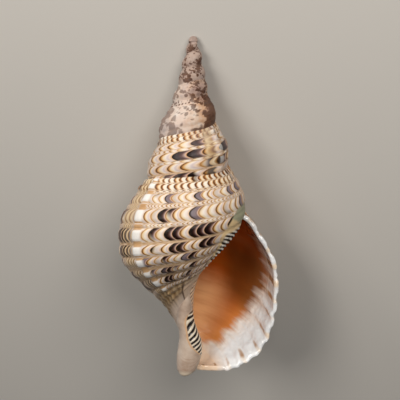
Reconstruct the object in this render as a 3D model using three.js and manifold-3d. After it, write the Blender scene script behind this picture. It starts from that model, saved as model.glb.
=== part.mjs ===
// A triton shell: a tall spire, an inflated last whorl with flat spiral cords and old-lip ridges (varices),
// a wide gaping mouth with a thin scalloped outer lip, a toothed columella and a short canal.
// The shell grew as one piece, so it is one solid. It lies on its back with the mouth up.
//
// Units are millimetres. The growth frame has the spire's tip at the origin, the axis along -Y
// (depth below the tip), the finished outer lip towards +X and the mouth facing +Z.
// A stage is a count of turns: 0 at the finished lip, -1 one whorl earlier, and so on to the tip.
import * as THREE from "three";
import { mergeVertices } from "three/addons/utils/BufferGeometryUtils.js";
import Module from "manifold-3d";

const wasm = await Module();
wasm.setup();

const TURN = 2 * Math.PI;
const { clamp, degToRad, lerp, smoothstep } = THREE.MathUtils;

// Growth, read every half turn back from the finished lip towards the tip.
const WHORL_RADIUS = [91.2, 72.6, 56, 43.8, 38.1, 31.9, 24.2, 19.6, 15.4, 14.2, 12.8, 11, 9.2, 7.4, 5.4];
const WIDEST_DEPTH = [255.4, 207, 173, 139, 119, 99, 79, 65, 52.5, 44.5, 37.5, 29, 20.5, 14, 8];
const SUTURE_DEPTH = [181.3, 146.3, 130.5, 104.5, 85.5, 68, 54.9, 47.1, 40.8, 30.5, 22, 17, 12, 7, 3];
// The first whorls are worn down to a blunt ball.
const TIP_STAGE = -6.9;
const TIP_RADIUS = 4.6;
const LIP_AZIMUTH = degToRad(4);

// The generating curve of a whorl of radius 1: [radius, depth from its widest point].
const WHORL_CURVE = [
  [0.5, -0.95], [0.604, -0.8136], [0.7, -0.723], [0.79, -0.576], [0.89, -0.43], [0.966, -0.26],
  [0.997, -0.09], [0.997, 0.08], [0.98, 0.249], [0.94, 0.418], [0.87, 0.588], [0.745, 0.768],
  [0.565, 0.927], [0.34, 1.119], [0.2, 1.243], [0.12, 1.33],
];
const TOP_BLEND = 0.16;
const CANAL_DEPTH = 347;
const CANAL_SOFTNESS = 5;

// Behind the mouth the base is pinched in above the canal. Just inside the mouth the whorl is flatter.
const PINCH = 0.4;
const FLATTENED = 0.12;

// Spiral cords across a whorl, as [start, end] shares of the curve from suture to columella.
const CORDS = [
  [0, 0.045], [0.048, 0.09], [0.11, 0.178], [0.205, 0.295], [0.315, 0.4], [0.415, 0.48],
  [0.49, 0.543], [0.567, 0.612], [0.633, 0.688], [0.71, 0.75],
];
const CORD_HEIGHT = 1.6;
const CORD_SIDE = 0.22;

// Old lips stand as low ridges, one every VARIX_SPACING turns back from the finished lip.
const VARIX_SPACING = 0.635;
const VARIX_SHIFT = -0.0115;
const VARIX_HEIGHT = 3;
const VARIX_HALF_WIDTH = 0.03;
const VARIX_COUNT = 10;

// The finished lip: wall thickness, and how far the edge flares in its last few degrees.
const WALL = 4;
const WALL_LEAST = 2.4;
const LIP_WALL = 3;
const FLARE = 1.5;
const LOWER_FLARE = 5;
const FLARE_LENGTH = 0.025;

// The columella ends in a rounded tongue beside the canal: [depth, centre x, centre z, half width, half height].
const COLUMELLA = [
  [9, 0, 0, 1, 1], [60, 0, 0, 2, 2], [130, 0, 0, 4, 4], [175, 0, 0, 5.5, 5.5], [222, 0.5, 0, 9, 8.5],
  [247, 1.3, 0, 9, 9.2], [266, -2.5, 0.2, 8, 9.5], [287, -2.9, 0.8, 8.8, 9.5], [295, -2.3, 1, 9.4, 9.4],
  [304, 0.8, 1.6, 9.7, 9], [313, 3, 2.4, 11.3, 8.4], [323, 2.9, 3.2, 12.5, 7.4], [330, 2.3, 3.6, 12.9, 6.8],
  [338, 1.3, 4, 12, 6], [346, -0.1, 4.2, 9.8, 5], [351, -1.2, 4.2, 5.8, 3.4], [353.5, -2.6, 4.2, 1.8, 1.6],
];

// Teeth of the inner lip: small ridges across its edge, from the top of the mouth to the canal.
// Above PARIETAL_DEPTH they stand on the whorl inside the mouth, and below it on the columella.
const TOOTH_COUNT = 14;
const TOOTH_RADIUS = 1.5;
const TOOTH_LENGTH = 10;
const TOOTH_SLANT = 0.6;
const FIRST_TOOTH_DEPTH = 205;
const LAST_TOOTH_DEPTH = 337;
const PARIETAL_DEPTH = 246;
const PARIETAL_STAGE = -0.96;
const COLUMELLA_AZIMUTH = degToRad(35);

// How it lies at rest, with its centre of mass over its support: the tip touches the surface,
// and the mouth faces up.
const REST_PITCH = degToRad(-20.8);
const REST_ROLL = degToRad(12.55);
const RUBBED = 0.25;

function growthCurve(values) {
  const points = values.map((value) => new THREE.Vector3(Math.log(value), 0, 0));
  const curve = new THREE.CatmullRomCurve3(points, false, "catmullrom");
  return (stage) => Math.exp(curve.getPoint(clamp(-2 * stage / (values.length - 1), 0, 1)).x);
}

const whorlRadius = growthCurve(WHORL_RADIUS);
const widestDepth = growthCurve(WIDEST_DEPTH);
const sutureDepth = growthCurve(SUTURE_DEPTH);

const whorlCurve = new THREE.CatmullRomCurve3(
  WHORL_CURVE.map(([radius, depth]) => new THREE.Vector3(radius, depth, 0)), false, "catmullrom");
whorlCurve.arcLengthDivisions = 600;

// Where on the generating curve a depth lies, as a share of its length: depth grows along the curve.
function shareAtDepth(depth) {
  let low = 0;
  let high = 1;
  for (let step = 0; step < 24; step++) {
    const middle = (low + high) / 2;
    if (whorlCurve.getPointAt(middle).y < depth) low = middle;
    else high = middle;
  }
  return (low + high) / 2;
}

function shareAtSuture(stage, depth) {
  return shareAtDepth((depth - widestDepth(stage)) / whorlRadius(stage));
}

// How far across the curve from suture to columella the next whorl covers this one.
function coveredFrom(stage) {
  const start = shareAtSuture(stage, sutureDepth(stage));
  return (shareAtSuture(stage, sutureDepth(stage + 1)) - start) / (1 - start);
}

function softLeast(a, b, softness) {
  return -softness * Math.log(Math.exp(-a / softness) + Math.exp(-b / softness));
}

function bell(distance, halfWidth) {
  return Math.exp(-((distance / halfWidth) ** 2));
}

// Height of the cords and varices above the plain whorl.
function relief(stage, across) {
  const scale = whorlRadius(stage) / WHORL_RADIUS[0];
  const cord = CORDS.find(([start, end]) => across >= start && across <= end);
  let height = 0;
  if (cord) {
    const [start, end] = cord;
    const fromEdge = Math.min(across - start, end - across) / ((end - start) * CORD_SIDE);
    height += CORD_HEIGHT * clamp(fromEdge, 0, 1) * (1 + Math.exp(stage / FLARE_LENGTH));
  }
  for (let count = 1; count <= VARIX_COUNT; count++) {
    const fade = clamp(across / 0.03, 0, 1) * clamp((1 - across) / 0.3, 0, 1);
    height += VARIX_HEIGHT * fade * bell(stage + VARIX_SHIFT + count * VARIX_SPACING, VARIX_HALF_WIDTH);
  }
  return height * scale;
}

// Radius and depth of the smooth outer surface. Its top edge lies on the whorl before it.
function plainSurface(stage, across) {
  const start = shareAtSuture(stage, sutureDepth(stage));
  const radius = whorlRadius(stage);
  const at = whorlCurve.getPointAt(clamp(lerp(start, 1, across), 0, 1));
  const behindMouth = smoothstep(-stage, 0.1, 0.4) * (1 - smoothstep(-stage, 1.1, 1.4));
  const pinch = PINCH * smoothstep(across, 0.46, 0.84) * behindMouth;
  const band = smoothstep(across, 0.34, 0.56) * (1 - smoothstep(across, 0.66, 0.78));
  const flat = FLATTENED * band * smoothstep(-stage, 0.7, 0.9) * behindMouth;
  let r = radius * at.x * (1 - pinch) * (1 - flat);
  if (stage > TIP_STAGE + 0.5) {
    const before = Math.max(stage - 1, TIP_STAGE);
    const beneath = whorlCurve.getPointAt(shareAtSuture(before, sutureDepth(stage))).x * whorlRadius(before);
    const top = whorlCurve.getPointAt(start).x * radius;
    r += (beneath - top) * clamp(1 - across / TOP_BLEND, 0, 1) ** 2;
  }
  return new THREE.Vector2(r, softLeast(widestDepth(stage) + radius * at.y, CANAL_DEPTH, CANAL_SOFTNESS));
}

// The unit normal of that surface in the plane of the axis, pointing out of the shell.
function outwardNormal(stage, across) {
  const step = 0.004;
  const before = plainSurface(stage, Math.max(across - step, 0));
  const after = plainSurface(stage, Math.min(across + step, 1));
  const along = after.sub(before).normalize();
  return new THREE.Vector2(along.y, -along.x);
}

// How far the last few degrees of the outer lip turn outwards.
function flare(stage, across) {
  const fade = clamp(across / 0.1, 0, 1) * clamp((1 - across) / 0.2, 0, 1);
  return Math.exp(stage / FLARE_LENGTH) * fade * (FLARE + LOWER_FLARE * bell(across - 0.66, 0.15));
}

function outerSurface(stage, across, shift = 0) {
  const height = relief(stage, across) + flare(stage, across) + shift;
  return plainSurface(stage, across).addScaledVector(outwardNormal(stage, across), height);
}

function wallThickness(stage) {
  const grown = Math.max(WALL * whorlRadius(stage) / WHORL_RADIUS[0], WALL_LEAST);
  return lerp(grown, LIP_WALL, Math.exp(stage / FLARE_LENGTH));
}

function innerSurface(stage, across, shift = 0) {
  const height = flare(stage, across) - wallThickness(stage) + shift;
  return plainSurface(stage, across).addScaledVector(outwardNormal(stage, across), height);
}

// A place in the growth frame from a stage, a radius and a depth.
function place(stage, r, depth) {
  const azimuth = TURN * stage + LIP_AZIMUTH;
  return new THREE.Vector3(r * Math.cos(azimuth), -depth, r * Math.sin(azimuth));
}

// A closed body through rings of equally many points, with both ends filled.
function loft(rings) {
  const count = rings[0].length;
  const positions = rings.flat().flatMap((p) => [p.x, p.y, p.z]);
  const index = [];
  for (let ring = 0; ring + 1 < rings.length; ring++) {
    for (let side = 0; side < count; side++) {
      const a = ring * count + side;
      const b = ring * count + ((side + 1) % count);
      index.push(a, b, a + count, b, b + count, a + count);
    }
  }
  const centre = (ring) => ring.reduce((sum, p) => sum.add(p), new THREE.Vector3()).divideScalar(count);
  for (const [ring, first, turned] of [[rings[0], 0, true], [rings.at(-1), (rings.length - 1) * count, false]]) {
    const middle = centre(ring);
    const u = ring[0].clone().sub(middle).normalize();
    const normal = new THREE.Vector3();
    for (let side = 0; side < count; side++) {
      normal.add(ring[side].clone().sub(middle).cross(ring[(side + 1) % count].clone().sub(middle)));
    }
    const w = normal.normalize().cross(u);
    const flat = ring.map((p) => {
      const q = p.clone().sub(middle);
      return new THREE.Vector2(q.dot(u), q.dot(w));
    });
    for (const [a, b, c] of THREE.ShapeUtils.triangulateShape(flat, [])) {
      index.push(...(turned ? [a, c, b] : [a, b, c]).map((k) => first + k));
    }
  }
  const geometry = new THREE.BufferGeometry();
  geometry.setAttribute("position", new THREE.Float32BufferAttribute(positions, 3));
  geometry.setIndex(index);
  return geometry;
}

function toSolid(geometry) {
  geometry.deleteAttribute("normal");
  geometry.deleteAttribute("uv");
  const merged = mergeVertices(geometry, 1e-4);
  const build = (triVerts) => new wasm.Manifold(new wasm.Mesh({
    numProp: 3, vertProperties: merged.attributes.position.array, triVerts,
  }));
  const solid = build(new Uint32Array(merged.index.array));
  if (solid.volume() > 0) return solid;
  const turned = new Uint32Array(merged.index.array);
  for (let k = 0; k < turned.length; k += 3) [turned[k], turned[k + 1]] = [turned[k + 1], turned[k]];
  return build(turned);
}

function fromSolid(solid) {
  const { numProp, vertProperties, triVerts } = solid.getMesh();
  const geometry = new THREE.BufferGeometry();
  geometry.setAttribute("position", new THREE.BufferAttribute(vertProperties.slice(), numProp));
  geometry.setIndex(new THREE.BufferAttribute(triVerts.slice(), 1));
  return geometry;
}

const spread = (from, to, count) => Array.from({ length: count }, (_, k) => lerp(from, to, k / (count - 1)));

// Places across the curve where the cords need a vertex: each groove, and the crest of each cord,
// which has two shoulders where the cord is wide.
const WIDE_CORD = 0.055;
function cordStations(until) {
  const stations = CORDS.flatMap(([start, end], k) => {
    const groove = k === 0 ? start : (start + CORDS[k - 1][1]) / 2;
    const width = end - start;
    const crest = width > WIDE_CORD ? [start + width * CORD_SIDE, end - width * CORD_SIDE] : [start + width / 2];
    return [groove, ...crest];
  });
  return stations.filter((at) => at < until - 0.01).concat(until);
}

// A whorl's top edge is rooted this far inside the whorl before it.
const ROOT = 1.2;
function rooted(stage, curve) {
  curve[0].x -= ROOT * whorlRadius(stage) / WHORL_RADIUS[0];
  return curve;
}

// An early whorl, filled to the axis: the next whorl winds over it.
const AXIS_GAP = 0.4;
function filledOutline(stations) {
  return (stage, shrink) => {
    const curve = rooted(stage, stations(stage).map((across) => outerSurface(stage, across, -shrink)));
    return [new THREE.Vector2(AXIS_GAP, curve[0].y), ...curve, new THREE.Vector2(AXIS_GAP, curve.at(-1).y)];
  };
}

// The hollow whorls' wall, between its outer and inner surfaces.
function wallOutline(outerStations, innerStations) {
  return (stage, shrink) => {
    const outer = rooted(stage, outerStations.map((across) => outerSurface(stage, across, -shrink)));
    return [...outer, ...innerStations.map((across) => innerSurface(stage, across, shrink))];
  };
}

// Winds an outline from one stage to another. Its start is drawn in a little, inside the run before it.
const LAP = 0.006;
const LAP_INSET = 0.4;
function run(from, to, columns, outlineAt) {
  const stages = spread(from, to, columns);
  const inset = LAP_INSET * whorlRadius(from) / WHORL_RADIUS[0];
  return loft([[from - LAP, inset], ...stages.map((stage) => [stage, 0])]
    .map(([stage, shrink]) => outlineAt(stage, shrink).map((p) => place(stage, p.x, p.y))));
}

function columella() {
  const sides = 16;
  return loft(COLUMELLA.map(([depth, x, z, halfWidth, halfHeight]) => spread(0, TURN, sides + 1).slice(0, -1)
    .map((angle) => new THREE.Vector3(x + halfWidth * Math.cos(angle), -depth, z + halfHeight * Math.sin(angle)))));
}

// The surface of the inner lip at a depth, as a point and the direction around it.
function innerLip(depth) {
  if (depth < PARIETAL_DEPTH) {
    const start = shareAtSuture(PARIETAL_STAGE, sutureDepth(PARIETAL_STAGE));
    const across = (shareAtSuture(PARIETAL_STAGE, depth) - start) / (1 - start);
    const at = place(PARIETAL_STAGE, plainSurface(PARIETAL_STAGE, across).x, depth);
    return [at, new THREE.Vector3(-at.z, 0, at.x).normalize()];
  }
  const next = COLUMELLA.findIndex((section) => section[0] > depth);
  const [before, after] = [COLUMELLA[next - 1], COLUMELLA[next]];
  const share = (depth - before[0]) / (after[0] - before[0]);
  const [, x, z, halfWidth, halfHeight] = before.map((value, k) => lerp(value, after[k], share));
  const [cos, sin] = [Math.cos(COLUMELLA_AZIMUTH), Math.sin(COLUMELLA_AZIMUTH)];
  return [
    new THREE.Vector3(x + halfWidth * cos, -depth, z + halfHeight * sin),
    new THREE.Vector3(-halfWidth * sin, 0, halfHeight * cos).normalize(),
  ];
}

function tooth(depth) {
  const [at, around] = innerLip(depth);
  const along = around.add(new THREE.Vector3(0, -TOOTH_SLANT, 0)).normalize();
  const turn = new THREE.Quaternion().setFromUnitVectors(new THREE.Vector3(0, 1, 0), along);
  return new THREE.CapsuleGeometry(TOOTH_RADIUS, TOOTH_LENGTH - 2 * TOOTH_RADIUS, 1, 6)
    .applyQuaternion(turn).translate(at.x, at.y, at.z);
}

const solids = [];
const join = (geometry) => solids.push(toSolid(geometry));

// The last whorl and the one before it are hollow. The earlier ones are filled.
// Each is wound in a run a little short of a turn, so that it never meets itself.
const WALL_START = -0.985;
const RUN = 0.96;
const LAST_OUTER = [...cordStations(0.76), 0.88, 1];
const COVERED_OUTER = [...cordStations(0.45), 0.65, 0.85, 1];
join(run(WALL_START, 0, 43, wallOutline(LAST_OUTER, spread(1, 0, 7))));
join(run(WALL_START - RUN, WALL_START, 32, wallOutline(COVERED_OUTER, spread(1, 0, 6))));

// The filled whorls need fewer rows and columns as they get smaller. Their rows end under the next whorl.
const COVER = 0.02;
const HIDDEN_END = 0.95;
for (let to = WALL_START - RUN; to > TIP_STAGE + LAP; to -= RUN) {
  const rows = Math.round(clamp(8 + to, 3, 7));
  const columns = Math.round(clamp(32 + 4 * to, 11, 24));
  const stations = (stage) => [...spread(0, coveredFrom(stage) + COVER, rows), HIDDEN_END];
  join(run(Math.max(to - RUN, TIP_STAGE), to, columns, filledOutline(stations)));
}
join(new THREE.IcosahedronGeometry(TIP_RADIUS, 1).translate(0, -TIP_RADIUS, 0));
join(columella());
for (const depth of spread(FIRST_TOOTH_DEPTH, LAST_TOOTH_DEPTH, TOOTH_COUNT)) join(tooth(depth));

const shell = solids.reduce((joined, solid) => joined.add(solid));

// Where it lies, the shell is rubbed down by a hair, so it rests on small flats and not on sharp corners.
const lowestAlong = (solid, up) => {
  const corners = fromSolid(solid).getAttribute("position");
  const at = new THREE.Vector3();
  let lowest = Infinity;
  for (let k = 0; k < corners.count; k += 1) lowest = Math.min(lowest, at.fromBufferAttribute(corners, k).dot(up));
  return lowest;
};
const rest = new THREE.Quaternion().setFromEuler(new THREE.Euler(REST_PITCH, REST_ROLL, 0, "YXZ"));
const up = new THREE.Vector3(0, 0, 1).applyQuaternion(rest.clone().invert());
const rubbed = shell.trimByPlane(up.toArray(), lowestAlong(shell, up) + RUBBED);

const material = new THREE.MeshStandardMaterial({ color: 0xe6cfb2, roughness: 0.4, metalness: 0 });
const mesh = new THREE.Mesh(fromSolid(rubbed), material);
mesh.name = "shell";
mesh.quaternion.copy(rest);

// The frame's origin is below the middle of the shell, on the surface that it lies on.
const lying = new THREE.Box3().setFromObject(mesh, true);
const middle = lying.getCenter(new THREE.Vector3());
mesh.position.set(-middle.x, -middle.y, -lying.min.z);

const group = new THREE.Group();
group.add(mesh);

export default group;
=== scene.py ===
"""A triton shell, lying on its back with its mouth up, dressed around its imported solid.

The shell's surface follows one growth law. A stage counts turns: 0 at the finished outer lip, -1 one whorl
earlier, and so on to the tip. Across runs from 0 at the suture to 1 at the columella. Forms are worked out
in millimetres in a growth frame, with the tip at the origin, the axis along -Y and the mouth towards +Z,
and then laid down in the frame of the solid, in metres.
"""
import math

import bmesh
import bpy
import numpy as np
from mathutils import Matrix, Vector


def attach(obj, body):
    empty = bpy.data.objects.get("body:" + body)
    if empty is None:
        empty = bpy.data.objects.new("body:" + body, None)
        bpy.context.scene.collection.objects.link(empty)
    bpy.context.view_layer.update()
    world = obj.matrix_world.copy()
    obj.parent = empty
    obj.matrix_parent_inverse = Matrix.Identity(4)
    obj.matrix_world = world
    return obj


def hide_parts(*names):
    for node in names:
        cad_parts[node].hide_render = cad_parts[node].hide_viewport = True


bl_info = {
    "name": "Triton shell",
    "version": (1, 0, 0),
    "blender": (4, 5, 0),
    "location": "View3D > Sidebar > Shell",
    "description": "Models a triton shell with its cords, teeth, markings and glossy mouth",
    "category": "Add Mesh",
}

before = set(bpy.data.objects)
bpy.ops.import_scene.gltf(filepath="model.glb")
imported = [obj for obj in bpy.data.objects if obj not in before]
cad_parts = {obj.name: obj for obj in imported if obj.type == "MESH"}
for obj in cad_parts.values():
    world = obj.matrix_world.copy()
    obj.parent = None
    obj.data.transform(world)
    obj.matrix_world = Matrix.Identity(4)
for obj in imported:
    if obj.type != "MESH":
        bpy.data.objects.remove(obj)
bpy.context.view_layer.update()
MM = 0.001
TURN = 2 * math.pi

# The growth law, read every half turn back from the lip, and the generating curve of a whorl of radius 1.
WHORL_RADIUS = [91.2, 72.6, 56, 43.8, 38.1, 31.9, 24.2, 19.6, 15.4, 14.2, 12.8, 11, 9.2, 7.4, 5.4]
WIDEST_DEPTH = [255.4, 207, 173, 139, 119, 99, 79, 65, 52.5, 44.5, 37.5, 29, 20.5, 14, 8]
SUTURE_DEPTH = [181.3, 146.3, 130.5, 104.5, 85.5, 68, 54.9, 47.1, 40.8, 30.5, 22, 17, 12, 7, 3]
WHORL_CURVE = [
    (0.5, -0.95), (0.604, -0.8136), (0.7, -0.723), (0.79, -0.576), (0.89, -0.43), (0.966, -0.26),
    (0.997, -0.09), (0.997, 0.08), (0.98, 0.249), (0.94, 0.418), (0.87, 0.588), (0.745, 0.768),
    (0.565, 0.927), (0.34, 1.119), (0.2, 1.243), (0.12, 1.33),
]
TIP_STAGE = -6.9
TIP_RADIUS = 4.6
LIP_AZIMUTH = math.radians(4)
TOP_BLEND = 0.16
CANAL_DEPTH = 347
CANAL_SOFTNESS = 5
PINCH = 0.4
FLATTENED = 0.12

# Limits are pairs: where a change starts or ends, and its length, in turns back from the lip or across the
# whorl. Behind the mouth the whorl is pinched low down, and further back a band of it is flat.
BEHIND_MOUTH = (0.1, 0.3)
NEXT_TURN = (1.1, 0.3)
PINCH_START = (0.46, 0.38)
FLAT_START = (0.34, 0.22)
FLAT_END = (0.66, 0.12)
FLAT_FROM = (0.7, 0.2)

# Spiral cords: start and end across the whorl, and height. Wide flat cords, with narrow ones between.
CORDS = [
    (0, 0.042, 1.5), (0.048, 0.09, 1.5), (0.094, 0.106, 0.4), (0.112, 0.176, 1.5), (0.182, 0.202, 0.8),
    (0.208, 0.293, 1.7), (0.297, 0.313, 0.8), (0.318, 0.4, 1.7), (0.415, 0.48, 1.6), (0.49, 0.543, 1.4),
    (0.567, 0.612, 1.4), (0.633, 0.688, 1.4), (0.705, 0.735, 1.1), (0.755, 0.785, 1.2), (0.805, 0.835, 1.2),
]
TALLEST_CORD = max(height for start, end, height in CORDS)
CORD_SIDE = 0.22
BEADED_END = 0.094
GROWTH_LINES = 0.16
VARIX_SPACING = 0.635
VARIX_SHIFT = -0.0115
VARIX_HEIGHT = 3
VARIX_HALF_WIDTH = 0.026
VARIX_SLOPES = (0.6, 1.2)
VARIX_COUNT = 10

# Ridges on the base, teeth on the whorl inside the mouth, wear of the spire, and the groove at the suture.
RIDGE_LIMITS = ((0.69, 0.03), (0.92, 0.12))
RIDGE_HEIGHT = 0.25
TOOTH_TURNS = ((0.85, 0.02), (0.985, 0.02))
TOOTH_LIMITS = ((0.44, 0.02), (0.78, 0.05))
TOOTH_HEIGHT = 1.3
SPIRE_WORN = (2.4, 1.2)
WORN_CORDS = 0.75
WORN_HEIGHT = 1.8
GROOVE_DEPTH = 1.2
GROOVE_WIDTH = 0.004

# The finished lip.
WALL = 4
LIP_WALL = 3.4
FLARE = 1.5
LOWER_FLARE = 5
LOWER_FLARE_PLACE = (0.66, 0.15)
FLARE_LENGTH = 0.025
SCALLOP = 0.8
FLUTE = 3
FLUTE_DEPTH = 0.075
FLUTE_LIMIT = (0.4, 0.1)
RIM_COLUMNS = 4
RIM_ROUNDING = 3
LAST_START = -0.985

# The filled whorls before the last: where the first ends, its length and the others', and how far they
# overlap, in turns. How far across they reach, and how much coarser each grid is than the one before.
FIRST_END = -0.96
FIRST_RUN = 0.42
RUN = 0.96
LAP = 0.006
COVER = 0.97
EARLY_ROWS = 64
COARSER = (0.75, 0.8)
FEWEST = (40, 24)
AXIS_GAP = 0.4

# The columella and its tongue: depth, centre x, centre z, half width, half height.
COLUMELLA = [
    (9, 0, 0, 1, 1), (60, 0, 0, 2, 2), (130, 0, 0, 4, 4), (175, 0, 0, 5.5, 5.5), (222, 0.5, 0, 9, 8.5),
    (240, 1.5, 0, 9.4, 9), (247, 1.3, 0, 9, 9.2), (255, -0.5, 0, 8, 9.3), (266, -2.5, 0.2, 8, 9.5),
    (277, -3, 0.5, 8.3, 9.6), (287, -2.9, 0.8, 8.8, 9.5), (295, -2.3, 1, 9.4, 9.4), (304, 0.8, 1.6, 9.7, 9),
    (313, 3, 2.4, 11.3, 8.4), (323, 2.9, 3.2, 12.5, 7.4), (330, 2.3, 3.6, 12.9, 6.8), (338, 1.3, 4, 12, 6),
    (346, -0.1, 4.2, 9.8, 5), (351, -1.2, 4.2, 5.8, 3.4), (353.5, -2.6, 4.2, 1.8, 1.6),
]

# The folds on the columella: how far round they reach from the mouth, in radians, at each depth.
FOLD_REACH = [
    (240, 0), (244, 1.4), (255, 1.25), (266, 1), (274, 0.7), (280, 0.4), (285, 1.1), (290, 1.4), (302, 1.62),
    (312, 1.7), (320, 1.35), (326, 0.8), (331, 0.1), (336, 0),
]
FOLD_INNER = -1
FOLD_PITCH = 4.9
FOLD_SLANT = 7
FOLD_LEVEL = (288, 10, 5)
FOLD_HEIGHT = 1.3
PILLAR_ROWS = 230
UPWARDS = 1.57
DEPTH_UNIT = 100

# How it lies, as in the solid: a pitch and a roll, and then the tip's place on the surface.
REST_PITCH = math.radians(-20.8)
REST_ROLL = math.radians(12.55)
TIP_PLACE = Vector((-28.23, 164.77, 2.57)) * MM
REST_TURN = Matrix.Rotation(REST_ROLL, 4, "Y") @ Matrix.Rotation(REST_PITCH, 4, "X")
REST = Matrix.Translation(TIP_PLACE) @ REST_TURN

UV_NAME = "growth"
STAGE_SHIFT = 8
EDGE = 1e-6


def catmull_rom(points, t):
    """Points on the uniform Catmull-Rom curve through points, at t from 0 to len(points) - 1."""
    p = np.asarray(points, float)
    t = np.clip(np.asarray(t, float), 0, len(p) - 1 - 1e-9)
    i = np.floor(t).astype(int)
    f = (t - i)[..., None]
    p1, p2 = p[i], p[i + 1]
    p0 = np.where((i > 0)[..., None], p[np.maximum(i - 1, 0)], 2 * p[0] - p[1])
    p3 = np.where((i + 2 < len(p))[..., None], p[np.minimum(i + 2, len(p) - 1)], 2 * p[-1] - p[-2])
    return 0.5 * (2 * p1 + (p2 - p0) * f + (2 * p0 - 5 * p1 + 4 * p2 - p3) * f ** 2
                  + (3 * p1 - p0 - 3 * p2 + p3) * f ** 3)


def grown(values, stage):
    """A value of the growth law at a stage."""
    return np.exp(catmull_rom(np.log(values)[:, None], -2 * np.asarray(stage, float))[..., 0])


CURVE_STEPS = np.linspace(0, len(WHORL_CURVE) - 1, 2001)
CURVE_POINTS = catmull_rom(WHORL_CURVE, CURVE_STEPS)
CURVE_LENGTH = np.concatenate([[0], np.cumsum(np.hypot(*np.diff(CURVE_POINTS, axis=0).T))])
CURVE_SHARE = CURVE_LENGTH / CURVE_LENGTH[-1]


def share_at_suture(stage, depth):
    """Where on the generating curve of a stage a depth lies, as a share of the curve's length."""
    level = (depth - grown(WIDEST_DEPTH, stage)) / grown(WHORL_RADIUS, stage)
    return np.interp(level, CURVE_POINTS[:, 1], CURVE_SHARE)


def curve_at(share):
    return [np.interp(share, CURVE_SHARE, CURVE_POINTS[:, k]) for k in (0, 1)]


def clamp(x):
    return np.clip(x, 0, 1)


def smooth(x):
    x = clamp(x)
    return x * x * (3 - 2 * x)


def rise(value, start, length):
    """0 up to start and 1 a length further on, smooth between."""
    return smooth((value - start) / length)


def fall(value, end, length):
    """1 up to a length before end and 0 beyond it, smooth between."""
    return smooth((end - value) / length)


def bell(distance, half_width):
    return np.exp(-(distance / half_width) ** 2)


def at_ends(share):
    """Where a share lies at 0 or 1."""
    return (share < EDGE) | (share > 1 - EDGE)


def relative_size(stage):
    """The whorl's radius against its radius at the lip."""
    return grown(WHORL_RADIUS, stage) / WHORL_RADIUS[0]


def plain_surface(stage, across):
    """Radius and depth of the smooth outer surface. Its top edge lies on the whorl before it."""
    radius, widest = grown(WHORL_RADIUS, stage), grown(WIDEST_DEPTH, stage)
    suture = grown(SUTURE_DEPTH, stage)
    start = share_at_suture(stage, suture)
    x, y = curve_at(start + (1 - start) * across)
    behind_mouth = rise(-stage, *BEHIND_MOUTH) * (1 - rise(-stage, *NEXT_TURN))
    x = x * (1 - PINCH * rise(across, *PINCH_START) * behind_mouth)
    band = rise(across, *FLAT_START) * (1 - rise(across, *FLAT_END))
    x = x * (1 - FLATTENED * band * rise(-stage, *FLAT_FROM) * behind_mouth)
    before = np.maximum(stage - 1, TIP_STAGE)
    beneath = curve_at(share_at_suture(before, suture))[0] * grown(WHORL_RADIUS, before)
    top = curve_at(start)[0] * radius
    blend = np.where(stage > TIP_STAGE + 0.5, (beneath - top) * clamp(1 - across / TOP_BLEND) ** 2, 0)
    depth = widest + radius * y
    depth = -CANAL_SOFTNESS * np.logaddexp(-depth / CANAL_SOFTNESS, -CANAL_DEPTH / CANAL_SOFTNESS)
    return radius * x + blend, depth


def outward(stage, across):
    """The outward normal of the plain surface in the plane of the axis, as radius and depth."""
    gap = 0.004
    r0, d0 = plain_surface(stage, np.maximum(across - gap, 0))
    r1, d1 = plain_surface(stage, np.minimum(across + gap, 1))
    length = np.hypot(r1 - r0, d1 - d0)
    return (d1 - d0) / length, -(r1 - r0) / length


def wave(x, y, z, seed):
    """A soft bumpy value from -1 to 1, from a few sine waves."""
    total = 0
    for k in range(1, 5):
        a, b = math.sin(seed * 12.9 + k * 7.3), math.sin(seed * 4.1 + k * 2.7)
        c = math.cos(seed * 9.7 + k * 5.1)
        total = total + np.sin(k * (a * x + b * y + c * z) + seed * k) / k
    return total / 2


def cord_height(across):
    height = np.zeros_like(across)
    for start, end, tall in CORDS:
        edge = np.minimum(across - start, end - across) / ((end - start) * CORD_SIDE)
        height = np.maximum(height, tall * smooth(edge * 0.8))
    return height


def lip_share(stage):
    return np.exp(stage / FLARE_LENGTH)


def relief(stage, across):
    """Height of cords, beads, old lips, growth lines and wear above the plain whorl."""
    worn = rise(-stage, *SPIRE_WORN)
    height = cord_height(across) * (1 - WORN_CORDS * worn)
    bead = 0.5 - 0.5 * np.cos(TURN * BEADS_AT_LIP * BEAD_GROWTH ** stage)
    height = np.where(across < BEADED_END, height * (0.45 + 0.8 * bead), height)
    start, end = RIDGE_LIMITS
    ridges = rise(across, *start) * fall(across, *end)
    height += RIDGE_HEIGHT * ridges * np.cos(TURN * BASE_RIDGES * stage + RIDGE_SLANT * across)
    fade = clamp(across / 0.03) * clamp((1 - across) / 0.3)
    for count in range(1, VARIX_COUNT + 1):
        off = stage + VARIX_SHIFT + count * VARIX_SPACING
        steep = np.where(off > 0, *VARIX_SLOPES) * VARIX_HALF_WIDTH
        height += VARIX_HEIGHT * fade * bell(off, steep) * (1 + 0.25 * cord_height(across))
    teeth = 1
    for value, (start, end) in [(-stage, TOOTH_TURNS), (across, TOOTH_LIMITS)]:
        teeth = teeth * rise(value, *start) * fall(value, *end)
    height += TOOTH_HEIGHT * teeth * np.cos(TURN * (across + stage * TOOTH_SLANT) / TOOTH_PITCH)
    height += GROWTH_LINES * wave(stage * 260, across * 7, 0, 1.3) * fade
    lumps = wave(stage * 17, across * 9, 0, 2.1) + 0.6 * wave(stage * 41, across * 23, 1, 5.2)
    height += worn * WORN_HEIGHT * lumps
    return height * relative_size(stage)


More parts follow.
